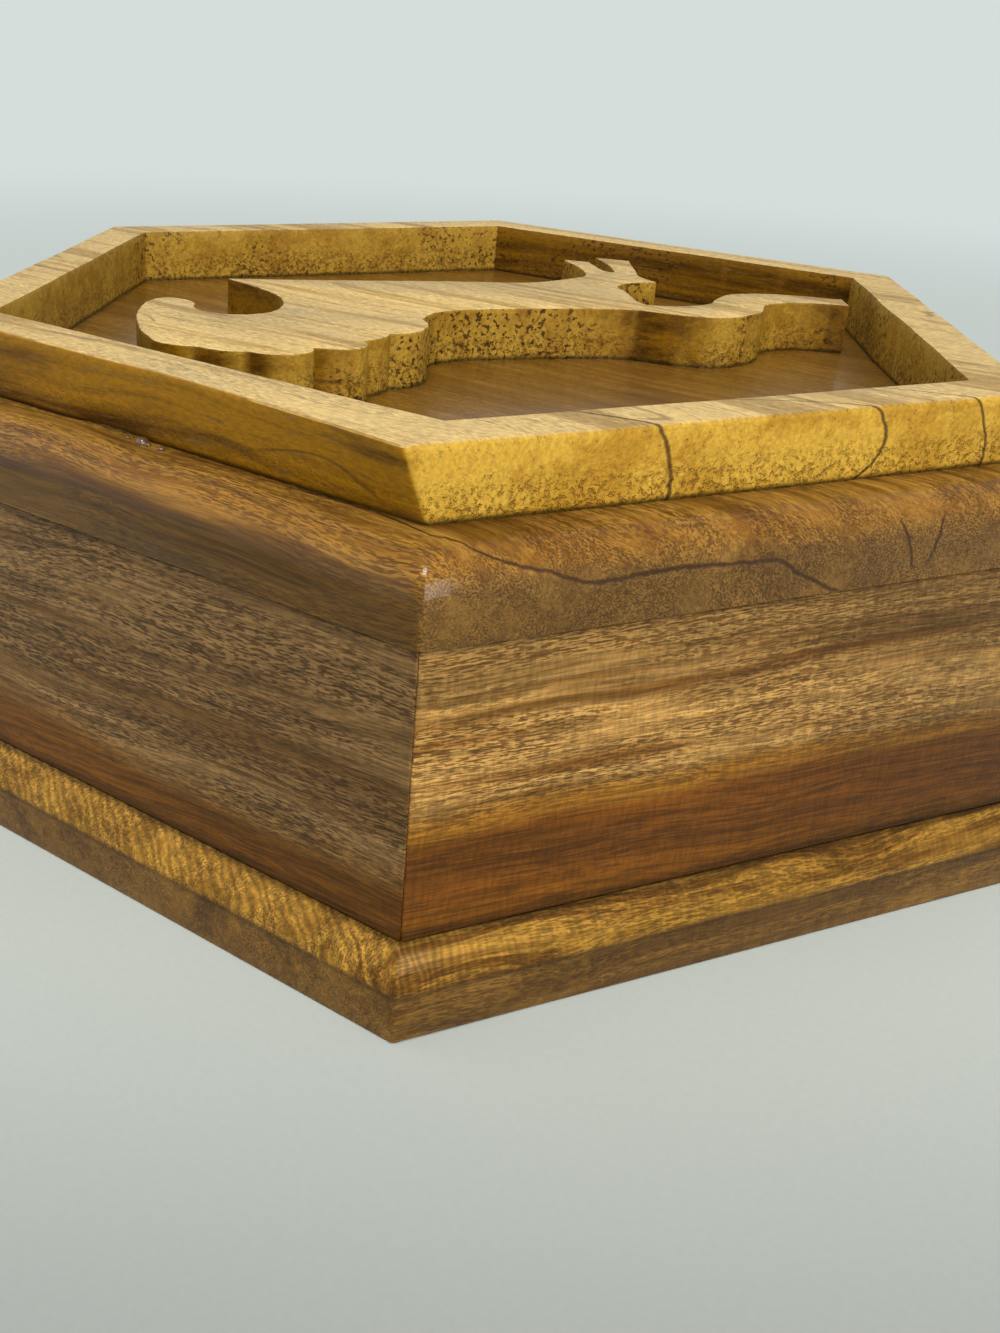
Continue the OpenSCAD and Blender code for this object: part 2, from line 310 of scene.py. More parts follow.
def wallMaterial(name, look):
    material, tree, shader, board = startMaterial(name + "_wood", -look["turn"])
    along, _, level = splitUp(tree, board)
    glow = look["glow"]
    tilted = put(tree, "ShaderNodeVectorRotate", {"Vector": board, "Angle": radians(look["slant"])},
                 rotation_type="Y_AXIS")
    tilted = vec(tree, "ADD", tilted, (look["shift"] * 3.1, look["shift"], look["shift"]))
    bands, streaks, fibres, pores, flecks = useGroup(tree, grain, Vector=tilted, Waviness=3.5, Fineness=1.0)
    curl = useGroup(tree, ripple, Vector=tilted, Spacing=0.45, Length=2.0, Bend=3.0)["Ripple"]
    tone = sumOf(tree, (bands, 0.55), (streaks, 0.45))
    colour = mixTo(tree, remap(tree, tone, 0.37, 0.57), look["dark"], look["light"])
    # the darker heartwood streak at the foot, with an orange edge above it
    drift = noiseAt(tree, tilted, (1 / 60, 1 / 30, 1 / 30))
    wander = times(tree, minus(tree, drift, 0.5), 9)
    rise = calc(tree, "ADD", minus(tree, level, box["foot"] + look["foot"]), wander)
    heart = mixTo(tree, remap(tree, bands, 0.4, 0.6), look["footColour"], scaled(look["footColour"], 1.5))
    ember = mixTo(tree, remap(tree, level, box["foot"] + 7, box["foot"] + 1), heart, wallSurface["ember"])
    colour = mixTo(tree, remap(tree, rise, 1.0, -2.5), colour, ember)
    edge = times(tree, remap(tree, calc(tree, "ABSOLUTE", rise), 3.2, 0.4), 0.85 * glow)
    colour = mixTo(tree, edge, colour, wallSurface["edge"])
    # the board is lightest above that edge and browner near the lid; toward its right end it is darkened, a painted
    # shade where the light falls off
    lift = times(tree, remap(tree, rise, 1.0, 6.0, 1.0, 1 + 0.35 * glow),
                 remap(tree, rise, 13.0, 19.0, 1.0, 1 - 0.36 * glow))
    colour = tint(tree, colour, lift)
    colour = tint(tree, colour, remap(tree, along, -15, 35, 1.0, 1 - 0.36 * glow))
    pores = times(tree, pores, remap(tree, rise, -3.0, 2.0, 0.35, 1.0))
    colour = mixTo(tree, times(tree, pores, 0.8), colour, look["pore"])
    shade = remap(tree, fibres, 0.37, 0.63, 0.60, 1.34)
    shine = remap(tree, curl, 0.3, 0.7, 1 - 0.26 * look["curl"], 1 + 0.3 * look["curl"])
    colour = tint(tree, colour, times(tree, shade, shine))
    # painted shade: the board darkens against the base and under the lid, where shade falls
    corner = calc(tree, "MINIMUM", remap(tree, level, box["foot"], box["foot"] + 3.0, 0.35, 1.0),
                  remap(tree, level, box["joint"], box["joint"] - 1.0, 0.6, 1.0))
    colour = tint(tree, colour, corner)
    heightMap = sumOf(tree, (fibres, 0.6), (pores, -0.8), (flecks, 0.25), (curl, 0.2))
    finishSurface(tree, shader, colour, flecks, heightMap, wallSurface)
    return material


baseLook = dict(gold=(0.39, 0.20, 0.027), goldDark=(0.26, 0.122, 0.014), grey=(0.20, 0.097, 0.017),
                greyDark=(0.10, 0.045, 0.007), vein=(0.10, 0.035, 0.003), pore=(0.04, 0.016, 0.004), turn=60,
                roughness=(0.28, 0.46), depth=0.10, coat=0.10, coatRoughness=0.12)


def baseMaterial():
    look = baseLook
    material, tree, shader, board = startMaterial("base_wood", -look["turn"], 31.0)
    reach, height, along, outward = hexOf(tree)
    bands, streaks, fibres, pores, flecks = useGroup(tree, grain, Vector=board, Waviness=7.0, Fineness=0.9)
    curl = useGroup(tree, ripple, Vector=board, Spacing=1.5, Length=6.0, Bend=4.0)["Ripple"]
    rings = put(tree, "ShaderNodeTexWave", {"Vector": stretch(tree, board, 0.30, 0.17, 0.17), "Scale": 1.0,
                "Distortion": 7.0, "Detail": 2.0, "Detail Scale": 1.2}, "Fac", wave_type="BANDS", bands_direction="X")
    tone = sumOf(tree, (bands, 0.5), (streaks, 0.5))
    gold = mixTo(tree, remap(tree, tone, 0.40, 0.56), look["goldDark"], look["gold"])
    # the right front side has dark veins, and its swirl is strong only near the corner
    streaky = remap(tree, outward, 78, 84)
    veins = times(tree, remap(tree, streaks, 0.52, 0.40), times(tree, streaky, 0.75))
    gold = mixTo(tree, veins, gold, look["vein"])
    still = times(tree, remap(tree, along, -52, -36), streaky)
    swirl = remap(tree, rings, 0.0, 1.0, 0.72, 1.20)
    gold = tint(tree, gold, mixNumber(tree, times(tree, still, 0.75), swirl, 0.95))
    gold = tint(tree, gold, remap(tree, curl, 0.3, 0.7, 0.86, 1.12))
    # small round eyes, ringed with dark
    eyes = put(tree, "ShaderNodeTexVoronoi", {"Vector": stretch(tree, board, 0.05, 0.075, 0.075), "Scale": 1.0},
               "Distance")
    ring = times(tree, remap(tree, eyes, 0.10, 0.05), remap(tree, eyes, 0.02, 0.045))
    gold = mixTo(tree, times(tree, ring, 0.6), gold, look["pore"])
    # the upright edge below the moulding is greyer, with a dark line between
    grey = mixTo(tree, remap(tree, tone, 0.38, 0.58), look["greyDark"], look["grey"])
    grey = tint(tree, grey, remap(tree, curl, 0.3, 0.7, 0.85, 1.12))
    upper = remap(tree, height, box["crest"] - 0.5, box["crest"] + 0.5)
    colour = mixTo(tree, upper, grey, gold)
    below = minus(tree, box["crest"] - 0.4, height)
    colour = tint(tree, colour, remap(tree, calc(tree, "ABSOLUTE", below), 0.0, 0.7, 0.62, 1.0))
    colour = mixTo(tree, times(tree, pores, 0.55), colour, look["pore"])
    colour = tint(tree, colour, remap(tree, fibres, 0.34, 0.66, 0.74, 1.22))
    # painted shade: the base's top darkens right at the walls' foot
    colour = tint(tree, colour, remap(tree, reach, box["wall"] + 0.1, box["wall"] + 0.9, 0.4, 1.0))
    heightMap = sumOf(tree, (fibres, 0.5), (pores, -0.7), (rings, 0.35), (flecks, 0.2))
    finishSurface(tree, shader, colour, flecks, heightMap, look)
    return material


lidLook = dict(light=(0.34, 0.172, 0.028), dark=(0.115, 0.046, 0.005), olive=(0.105, 0.05, 0.006),
               shadedOliveDark=(0.055, 0.022, 0.002), end=(0.19, 0.10, 0.024), endDark=(0.08, 0.036, 0.006),
               inside=(0.25, 0.118, 0.012), insideDark=(0.13, 0.055, 0.004), pore=(0.055, 0.02, 0.004),
               ink=(0.03, 0.012, 0.004), warm=(0.26, 0.105, 0.008), roughness=(0.26, 0.44), depth=0.08, coat=0.36,
               coatRoughness=0.13)
# The spalt line on the lid's right front side: place along it, and depth below the edge, less than 0 on the top
lidLineFrom, lidLineSpan = (-50, -10), (100, 30)
lidLine = [(-49, -8), (-45, -4.9), (-42.8, -1.9), (-38.4, 1.2), (-35, 2.6), (-28.6, 5.3), (-22.7, 5), (-15.7, 4.7),
           (-9.4, 5.2), (-2.9, 5.4), (0.6, 7.5), (3.8, 9.1), (7, 10.7), (11.4, 11.9), (22, 14)]


def lidMaterial():
    look = lidLook
    material, tree, shader, board = startMaterial("lid_wood", 0.0, 83.0)
    reach, height, along, outward = hexOf(tree)
    face = splitUp(tree, coordsOf(tree)["Normal"])
    bands, streaks, fibres, pores, flecks = useGroup(tree, grain, Vector=board, Waviness=6.0, Fineness=0.95)
    tone = sumOf(tree, (bands, 0.5), (streaks, 0.5))
    colour = mixTo(tree, remap(tree, tone, 0.38, 0.58), look["dark"], look["light"])
    # upright faces along the grain get a greyer, darker copy of the wood's colour, a painted shade on the sides; the
    # end grain is a plain brown
    upright = remap(tree, calc(tree, "ABSOLUTE", face[2]), 0.75, 0.25)
    endGrain = remap(tree, calc(tree, "ABSOLUTE", face[0]), 0.3, 0.8)
    colour = mixTo(tree, times(tree, upright, minus(tree, 1.0, endGrain)), colour,
                   mixTo(tree, remap(tree, tone, 0.40, 0.54), look["shadedOliveDark"], look["olive"]))
    colour = mixTo(tree, times(tree, upright, times(tree, endGrain, 0.8)), colour,
                   mixTo(tree, flecks, look["endDark"], look["end"]))
    # the rounded edge is warmer, and so is the top inside the rim, which is also darker there: painted shade within
    # the rim
    rounded = remap(tree, minus(tree, reach, box["lid"] - 6), 0.0, 3.0)
    glow = times(tree, rounded, minus(tree, 1.0, upright))
    colour = mixTo(tree, times(tree, glow, 0.5), colour, look["warm"])
    colour = mixTo(tree, times(tree, pores, 0.7), colour, look["pore"])
    colour = tint(tree, colour, remap(tree, fibres, 0.34, 0.66, 0.68, 1.28))
    # painted shade: the top inside the rim is a darker, warmer brown
    onTop = remap(tree, height, box["lidTop"] - 2, box["lidTop"] - 1, 0.0, 0.6)
    inside = times(tree, remap(tree, reach, box["rim"] - 6, box["rim"] - 8), onTop)
    colour = mixTo(tree, inside, colour, mixTo(tree, tone, look["insideDark"], look["inside"]))
    # the drawn spalt line, and two short ones in a V beside it
    down = downFrom(tree, box["lidTop"], height, box["lid"], reach)
    curve = tree.nodes.new("ShaderNodeFloatCurve")
    points = curve.mapping.curves[0].points
    (start, top), (length, depths) = lidLineFrom, lidLineSpan
    for spot, depth in lidLine:
        points.new((spot - start) / length, (depth - top) / depths)
    points.remove(points[0])
    points.remove(points[-1])
    curve.mapping.update()
    tree.links.new(put(tree, "ShaderNodeMapRange", {0: along, 1: start, 2: start + length}), curve.inputs["Value"])
    target = calc(tree, "MULTIPLY_ADD", curve.outputs[0], depths, top)
    shake = minus(tree, noiseAt(tree, board, (0.5, 0.5, 0.5), 3, 0.6), 0.5)
    off = calc(tree, "ABSOLUTE", calc(tree, "ADD", minus(tree, down, target), shake))
    facing = times(tree, remap(tree, outward, 60, 66), remap(tree, height, box["joint"], box["joint"] + 0.5))
    front = times(tree, facing, remap(tree, along, 14, 10))
    line = times(tree, remap(tree, off, 0.55, 0.1), front)
    for start, lean in ((17.0, 0.30), (25.3, -0.33)):
        stroke = useGroup(tree, darkLine, Along=along, Down=down, Place=start, Lean=lean, Thickness=0.4)["Line"]
        ends = times(tree, remap(tree, down, 1.0, 2.5), remap(tree, down, 10.0, 8.0))
        line = calc(tree, "MAXIMUM", line, times(tree, stroke, times(tree, ends, facing)))
    colour = mixTo(tree, times(tree, line, 0.85), colour, look["ink"])
    heightMap = sumOf(tree, (fibres, 0.5), (pores, -0.7), (flecks, 0.15), (line, -0.4))
    finishSurface(tree, shader, colour, flecks, heightMap, look)
    return material


spaltLook = dict(
    top=(0.72, 0.50, 0.19), topDark=(0.46, 0.29, 0.09), long=(0.27, 0.122, 0.002), longDark=(0.08, 0.03, 0.001),
    end=(0.56, 0.33, 0.04), endDark=(0.42, 0.22, 0.02), ink=(0.05, 0.02, 0.007), smoke=(0.33, 0.29, 0.18),
    rust=(0.30, 0.12, 0.012), roughness=(0.42, 0.62), depth=0.11, coat=0.06, coatRoughness=0.25)
# The rim's three dark lines on the right front side: place along its top edge, lean, bend and thickness
rimLines = [(-16.4, 0.62, -0.036, 0.55), (17.2, 1.15, -0.135, 0.5), (34.4, 0.85, -0.05, 0.42)]


def spaltMaterial(name, shift, smoky, speckled, lines):
    look = spaltLook
    material, tree, shader, board = startMaterial(name, 0.0, shift)
    reach, height, along, outward = hexOf(tree)
    face = splitUp(tree, coordsOf(tree)["Normal"])
    bands, streaks, fibres, pores, flecks = useGroup(tree, grain, Vector=board, Waviness=5.0, Fineness=1.15)
    zones = useGroup(tree, zoneLines, Vector=board, Size=34.0, Thickness=0.006, Level=0.5)["Line"]
    tone = remap(tree, sumOf(tree, (bands, 0.6), (streaks, 0.4)), 0.38, 0.58)
    up = remap(tree, calc(tree, "ABSOLUTE", face[2]), 0.45, 0.9)
    endGrain = remap(tree, calc(tree, "ABSOLUTE", face[0]), 0.3, 0.85)
    side = mixTo(tree, endGrain, mixTo(tree, tone, look["longDark"], look["long"]),
                 mixTo(tree, tone, look["endDark"], look["end"]))
    # end grain is torn and pitted toward the foot of the side
    pits = remap(tree, noiseAt(tree, board, (1.3, 1.3, 1.3), 3, 0.7), 0.5, 0.66)
    low = remap(tree, height, box["rimTop"] - 3, box["lidTop"] + 2)
    torn = times(tree, pits, times(tree, low, remap(tree, endGrain, 0.2, 1.0, 0.3, 1.0)))
    side = mixTo(tree, times(tree, torn, 0.55), side, look["rust"])
    # small dark specks that gather in clouds, only on the sides that face inward
    specks = remap(tree, noiseAt(tree, board, (0.85, 1.25, 1.25), 2, 0.55), 0.56, 0.62)
    crowd = remap(tree, noiseAt(tree, board, (1 / 24, 1 / 18, 1 / 18), 1), 0.42, 0.58, 0.0, speckled)
    crowd = times(tree, crowd, remap(tree, reach, box["rim"] - 5, box["rim"] - 3, 1.0, 0.0))
    side = mixTo(tree, times(tree, specks, crowd), side, look["ink"])
    # browner stains that run down the same sides
    stains = remap(tree, noiseAt(tree, board, (0.16, 0.16, 0.03), 2, 0.6), 0.54, 0.66, 0.0, speckled)
    inner = remap(tree, reach, box["rim"] - 5, box["rim"] - 3, 0.35, 0.0)
    side = mixTo(tree, times(tree, stains, inner), side, look["rust"])
    crown = mixTo(tree, remap(tree, tone, 0.0, 0.7), look["topDark"], look["top"])
    cloud = remap(tree, noiseAt(tree, board, (1 / 60, 1 / 16, 1 / 16), 2), 0.56, 0.70)
    crown = mixTo(tree, times(tree, cloud, smoky), crown, look["smoke"])
    # painted shade: the sides inside the rim, the rim's inner faces and the horse's, are darker
    shadeInsideRim = remap(tree, reach, box["rim"] - 3, box["rim"] - 5, 1.0, 0.70)
    colour = mixTo(tree, up, tint(tree, side, shadeInsideRim), crown)
    hair = times(tree, remap(tree, fibres, 0.45, 0.36), remap(tree, streaks, 0.56, 0.44))
    colour = mixTo(tree, times(tree, hair, 0.75), colour, scaled(look["topDark"], 0.3))
    colour = mixTo(tree, times(tree, pores, times(tree, up, 0.35)), colour, look["ink"])
    colour = tint(tree, colour, remap(tree, flecks, 0.3, 0.7, 0.82, 1.14))
    ink = times(tree, zones, times(tree, 0.5, remap(tree, bands, 0.5, 0.6)))
    if lines:
        down = downFrom(tree, box["rimTop"], height, box["rim"], reach)
        facing = remap(tree, outward, 60, 66)
        for start, lean, bend, thickness in lines:
            stroke = useGroup(tree, darkLine, Along=along, Down=down, Place=start, Lean=lean, Bend=bend,
                              Thickness=thickness, Wander=1.2)["Line"]
            ink = calc(tree, "MAXIMUM", ink, times(tree, stroke, times(tree, facing, 0.85)))
    colour = mixTo(tree, ink, colour, look["ink"])
    # painted shade: the rim and the horse darken at their foot, where they stand on the lid
    foot = remap(tree, height, box["lidTop"] + 0.2, box["lidTop"] + 1.0, 0.25, 1.0)
    colour = tint(tree, colour, foot)
    heightMap = sumOf(tree, (fibres, 0.5), (torn, -2.4), (flecks, 0.4), (ink, -0.4))
    finishSurface(tree, shader, colour, flecks, heightMap, look)
    return material


feltLook = dict(colour=(0.018, 0.085, 0.045), fuzz=(0.04, 0.14, 0.08), depth=0.35, sheen=0.35, sheenRoughness=0.5)


def feltMaterial():
    look = feltLook
    material, tree, shader, board = startMaterial("floor_felt_cloth")
    fuzz = noiseAt(tree, board, (2.2, 2.2, 2.2), 4, 0.7)
    patches = noiseAt(tree, board, (0.06, 0.06, 0.06), 3)
    fibres = noiseAt(tree, vec(tree, "ADD", stretch(tree, board, 0.9, 3.5, 3.5), (5, 5, 5)), None, 3, 0.6, 1.5)
    colour = mixTo(tree, remap(tree, fuzz, 0.3, 0.7), look["colour"], look["fuzz"])
    colour = tint(tree, colour, remap(tree, patches, 0.3, 0.7, 0.85, 1.15))
    addBump(tree, shader, sumOf(tree, (fuzz, 0.6), (fibres, 0.4)), look["depth"])
    feed(tree, shader, {"Base Color": colour, "Roughness": remap(tree, fibres, 0.2, 0.8, 0.85, 1.0),
         "Sheen Weight": look["sheen"], "Sheen Roughness": look["sheenRoughness"]})
    return material


brassLook = dict(bright=(0.80, 0.60, 0.27), dull=(0.52, 0.35, 0.13))


def brassMaterial(name, brightness):
    material, tree, shader, board = startMaterial(name)
    stain = noiseAt(tree, board, (0.5, 0.5, 0.5), 4, 0.6)
    scratch = noiseAt(tree, board, (0.35, 6, 6), 3, 0.6)
    colour = mixTo(tree, remap(tree, stain, 0.35, 0.68), scaled(brassLook["bright"], brightness), brassLook["dull"])
    wear = sumOf(tree, (stain, 0.6), (scratch, 0.4))
    addBump(tree, shader, scratch, 0.03, 0.5)
    feed(tree, shader, {"Base Color": colour, "Metallic": 1.0, "Roughness": remap(tree, wear, 0.3, 0.7, 0.24, 0.44)})
    return material


glueLook = dict(light=(0.15, 0.08, 0.03), dark=(0.05, 0.024, 0.008), coat=0.6)


def glueMaterial():
    material, tree, shader, board = startMaterial("dried_glue")
    cloudy = noiseAt(tree, board, (1.5, 1.5, 1.5), 2)
    feed(tree, shader, {"Base Color": mixTo(tree, cloudy, glueLook["dark"], glueLook["light"]),
         "Roughness": remap(tree, cloudy, 0.3, 0.7, 0.14, 0.3), "Coat Weight": glueLook["coat"]})
    return material


# Mesh helpers. Points are in millimetres, and meshes are written in metres

def hexRing(apothem, height, corner, sideSteps=24, cornerSteps=4):
    # one round of points on a hexagon with rounded corners, starting at the near corner
    ends = []
    for k in range(6):
        turn = radians(60 * k - 60)
        centre = Vector((cos(turn), sin(turn), 0)) * ((apothem - corner) / cos(pi / 6))
        arc = [radians(60 * k - 90 + 60 * i / cornerSteps) for i in range(cornerSteps + 1)]
        ends.append([centre + Vector((cos(a), sin(a), 0)) * corner for a in arc])
    points = []
    for k in range(6):
        points += ends[k]
        start, stop = ends[k][-1], ends[(k + 1) % 6][0]
        points += [start.lerp(stop, i / sideSteps) for i in range(1, sideSteps)]
    return [Vector((p.x, p.y, height)) for p in points]


def hexRings(profile, *steps):
    # profile: apothem, height and corner radius of each round
    return [hexRing(*entry, *steps) for entry in profile]


def loft(rings, closed=False):
    mesh = bmesh.new()
    rows = [[mesh.verts.new(p) for p in ring] for ring in rings]
    count = len(rows[0])
    pairs = list(zip(rows, rows[1:])) + ([(rows[-1], rows[0])] if closed else [])
    for low, high in pairs:
        for i in range(count):
            j = (i + 1) % count
            mesh.faces.new((low[i], low[j], high[j], high[i]))
    if not closed:
        mesh.faces.new(reversed(rows[0]))
        mesh.faces.new(rows[-1])
    return mesh


def addObject(name, data):
    thing = bpy.data.objects.new(name, data)
    bpy.context.scene.collection.objects.link(thing)
    return thing


def addMesh(name, mesh):
    data = bpy.data.meshes.new(name)
    mesh.to_mesh(data)
    mesh.free()
    return addObject(name, data)


def finishPiece(name, mesh, material, body, slot, *replaced, smoothAngle=35):
    for vert in mesh.verts:
        vert.co *= mm
    for part in mesh.faces:
        part.smooth = True
    bmesh.ops.recalc_face_normals(mesh, faces=mesh.faces)
    piece = addMesh(name, mesh)
    piece.data.set_sharp_from_angle(angle=radians(smoothAngle))
    piece.data.materials.append(material)
    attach(piece, body)
    if replaced:
        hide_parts(*replaced)
    return piece


def applyModifiers(piece):
    graph = bpy.context.evaluated_depsgraph_get()
    flat = bpy.data.meshes.new_from_object(piece.evaluated_get(graph))
    piece.modifiers.clear()
    old = piece.data
    piece.data = flat
    bpy.data.meshes.remove(old)


def makeBlock(corners):
    block = bmesh.new()
    bmesh.ops.convex_hull(block, input=[block.verts.new(c) for c in corners])
    bmesh.ops.recalc_face_normals(block, faces=block.faces)
    return addMesh("block", block)


def cutAway(piece, cutters):
    for cutter in cutters:
        cut = piece.modifiers.new("cut", "BOOLEAN")
        cut.operation, cut.solver, cut.object = "DIFFERENCE", "EXACT", cutter
    applyModifiers(piece)
    for cutter in cutters:
        bpy.data.objects.remove(cutter)


pocketShape = dict(depth=1.35, gap=0.1, over=1.0, outward=4.0)


def cutPockets(piece, leafKind):
    # the two hinge pockets, from where the hinge leaves lie: the box's below the joint and the lid's above it
    depth, gap, over, outward = (value * mm for value in pocketShape.values())
    joint = box["joint"] * mm
    spanZ = (joint - depth, joint + over) if leafKind == "box" else (joint - over, joint + depth)
    cutters = []
    for side in ("left", "right"):
        low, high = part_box("hinge_%s_%s_leaf" % (side, leafKind))
        cutters.append(makeBlock([(x, y, z) for x in (low[0] - gap, high[0] + gap)
                                  for y in (low[1] - gap, high[1] + outward) for z in spanZ]))
    cutAway(piece, cutters)


def rough(point, size, amount, seed=0.0):
    return noise.noise(point / size + Vector((seed, seed * 1.7, -seed))) * amount


def outwardOf(point):
    return Vector((point.x, point.y, 0)).normalized()


def camel(name):
    first, *others = name.split("_")
    return first + "".join(word.title() for word in others)


# Pieces. Where one takes all its values at once, they come in the order that they are written in

baseShape = dict(apothem=box["base"], crest=box["crest"], foot=box["wall"], top=box["foot"], radius=8.0, corner=0.7,
                 steps=10, waves=(22, 0.12))


def makeBase():
    reach, crest, foot, top, radius, corner, steps, waves = baseShape.values()
    # the moulding's arc runs from the crest in to the walls' foot
    chord = Vector((reach - foot, top - crest))
    inward = Vector((-chord.y, -chord.x)) / chord.length
    middle = Vector((foot + chord.x / 2, crest + chord.y / 2))
    centre = middle + inward * sqrt(radius ** 2 - (chord.length / 2) ** 2)
    first, last = ((Vector(end) - centre).angle_signed(Vector((1, 0))) for end in ((reach, crest), (foot, top)))
    profile = [(82.0, 0.0, 0.4), (reach - 0.5, 0.0, 0.5), (reach - 0.1, 0.15, 0.6), (reach, 0.55, corner),
               (reach, 4, corner), (reach, crest - 0.35, corner)]
    for i in range(steps + 1):
        a = first + (last - first) * i / steps
        profile.append((centre.x + radius * cos(a), centre.y + radius * sin(a), corner))
    rings = hexRings(profile + [(60.0, top, 0.5)])
    for ring in rings[3:-2]:
        for point in ring:
            point += outwardOf(point) * rough(point, *waves)
    finishPiece("baseBoard", loft(rings), baseMaterial(), "box", "base_wood", "base_board")


wallShape = dict(apothem=box["wall"], thickness=box["wallThickness"], low=box["foot"], high=box["joint"], ease=0.35,
                 steps=24, rows=8, waves=(30, 0.09))


def makeWall(name, look):
    outer, thickness, low, high, easing, steps, rows, waves = wallShape.values()
    mesh = bmesh.new()
    grid = {}
    for r in range(rows + 1):
        for c in range(steps + 1):
            for deep, reach in enumerate((outer, outer - thickness)):
                t = 2 * c / steps - 1
                point = Vector((t * reach * tan(pi / 6), -reach, low + (high - low) * r / rows))
                if 0 < c < steps and 0 < r < rows:
                    point.y += rough(point, *waves, look["shift"])
                grid[r, c, deep] = mesh.verts.new(point)
    for r in range(rows):
        for c in range(steps):
            for deep in (0, 1):
                quad = [grid[r, c, deep], grid[r, c + 1, deep], grid[r + 1, c + 1, deep], grid[r + 1, c, deep]]
                mesh.faces.new(quad if deep == 0 else quad[::-1])
    for c in range(steps):
        for r in (0, rows):
            mesh.faces.new((grid[r, c, 0], grid[r, c + 1, 0], grid[r, c + 1, 1], grid[r, c, 1]))
    for r in range(rows):
        for c in (0, steps):
            mesh.faces.new((grid[r, c, 0], grid[r + 1, c, 0], grid[r + 1, c, 1], grid[r, c, 1]))
    bmesh.ops.rotate(mesh, verts=mesh.verts, matrix=Matrix.Rotation(radians(look["turn"]), 3, "Z"))
    piece = finishPiece(camel(name), mesh, wallMaterial(name, look), "box", "wall_wood", name, smoothAngle=30)
    if name == "wall_back":
        cutPockets(piece, "box")
    ease = piece.modifiers.new("ease", "BEVEL")
    ease.width, ease.segments, ease.limit_method, ease.angle_limit = easing * mm, 2, "ANGLE", radians(40)
    applyModifiers(piece)


lidShape = dict(apothem=box["lid"], low=box["joint"], high=box["lidTop"], round=7.0, arris=0.6, corner=3.2,
                lowCorner=2.5, steps=9, waves=(26, 0.25, 5), lifts=(30, 0.06, 9))


def makeLid():
    reach, low, high, bend, arris, corner, lowCorner, steps, waves, lifts = lidShape.values()
    profile = [(70, low, 2.5), (reach - arris - 1, low, 2.0)]
    for i in range(4):
        a = radians(-90 + 30 * i)
        profile.append((reach - arris + arris * cos(a), low + arris + arris * sin(a), 2.2))
    profile.append((reach, low + 3, 2.4))
    for i in range(steps + 1):
        a = radians(90 * i / steps)
        profile.append((reach - bend + bend * cos(a), high - bend + bend * sin(a),
                        lowCorner + (corner - lowCorner) * i / steps))
    rings = hexRings(profile + [(reach - bend - 2, high, 3.2), (66, high, 2.0)])
    for ring in rings[5:-2]:
        for point in ring:
            lift = Vector((0, 0, rough(point, *lifts) - 0.03))
            point += outwardOf(point) * (rough(point, *waves) - 0.1) + lift
    piece = finishPiece("lidPanel", loft(rings), lidMaterial(), "lid", "lid_wood", "lid_panel")
    cutPockets(piece, "lid")
    piece.data.set_sharp_from_angle(angle=radians(35))


# lean is how far the near corner's top stands out past its true place, and gouge is the torn hollow at the left foot
rimShape = dict(outer=box["rim"], width=box["rimWidth"], low=box["lidTop"], high=box["rimTop"], ease=0.7, lean=4.6,
                leanReach=60, gougeFrom=-16, gougeTo=0, gouge=1.4, waves=(17, 0.32, 3), fray=(5, 0.09, 8),
                lifts=(24, 0.10, 6))


def makeRim():
    outer, width, low, high, ease, lean, leanReach, gougeFrom, gougeTo, gouge, waves, fray, lifts = rimShape.values()
    inner = outer - width
    profile = [(outer - 0.35, low, 1.0), (outer - 0.05, low + 0.5, 1.2)]
    profile += [(outer, low + h, 1.2) for h in (1.3, 2.6, 4.2, 6.2, 8.2)]
    for i in range(4):
        a = radians(30 * i)
        profile.append((outer - ease * (1 - cos(a)), high - ease * (1 - sin(a)), 1.3))
    profile.append((outer - width / 2, high, 1.0))
    profile += [(inner + 0.5, high, 0.5), (inner + 0.15, high - 0.12, 0.5), (inner, high - 0.5, 0.5)]
    profile += [(inner, low + h, 0.5) for h in (7.5, 5, 2.5, 0)]
    rings = hexRings(profile, 36, 3)
    near = Vector((cos(radians(-60)), sin(radians(-60)), 0)) * outer / cos(pi / 6)
    for ring in rings:
        for point in ring:
            isTop = point.z > high - 0.01
            wobble = rough(Vector((point.x, point.y, point.z * 0.4)), *waves) + rough(point, *fray)
            point += outwardOf(point) * (wobble - 0.12)
            if isTop:
                point.z += rough(point, *lifts) - 0.05
            # the near corner was sawn out of square: the right front side runs on past it, at the top more than below
            share = 0.2 + 0.8 * (point.z - low) / (high - low)
            close = max(0.0, 1 - (Vector((point.x, point.y, 0)) - near).length / leanReach)
            if point.y < -inner - 1:
                point += Vector((-0.5, -0.866, 0)) * (lean * share * close ** 2)
            # the torn hollow
            if point.y < -inner - 3 and gougeFrom < point.x < gougeTo and point.z < low + 3.6:
                t = (point.x - gougeFrom) / (gougeTo - gougeFrom)
                point.y += gouge * sin(pi * t) * max(0.0, 1 - (point.z - low) / (4 - 2.5 * t))
    finishPiece("lidRim", loft(rings, True), spaltMaterial("rim_spalted", 11.0, 0.2, 0.8, rimLines), "lid",
                "spalted_wood", "lid_rim", smoothAngle=32)


horseShape = dict(step=1.1, saw=0.17, sawSize=1.7, torn=0.12, tornSize=0.9, ease=0.3)


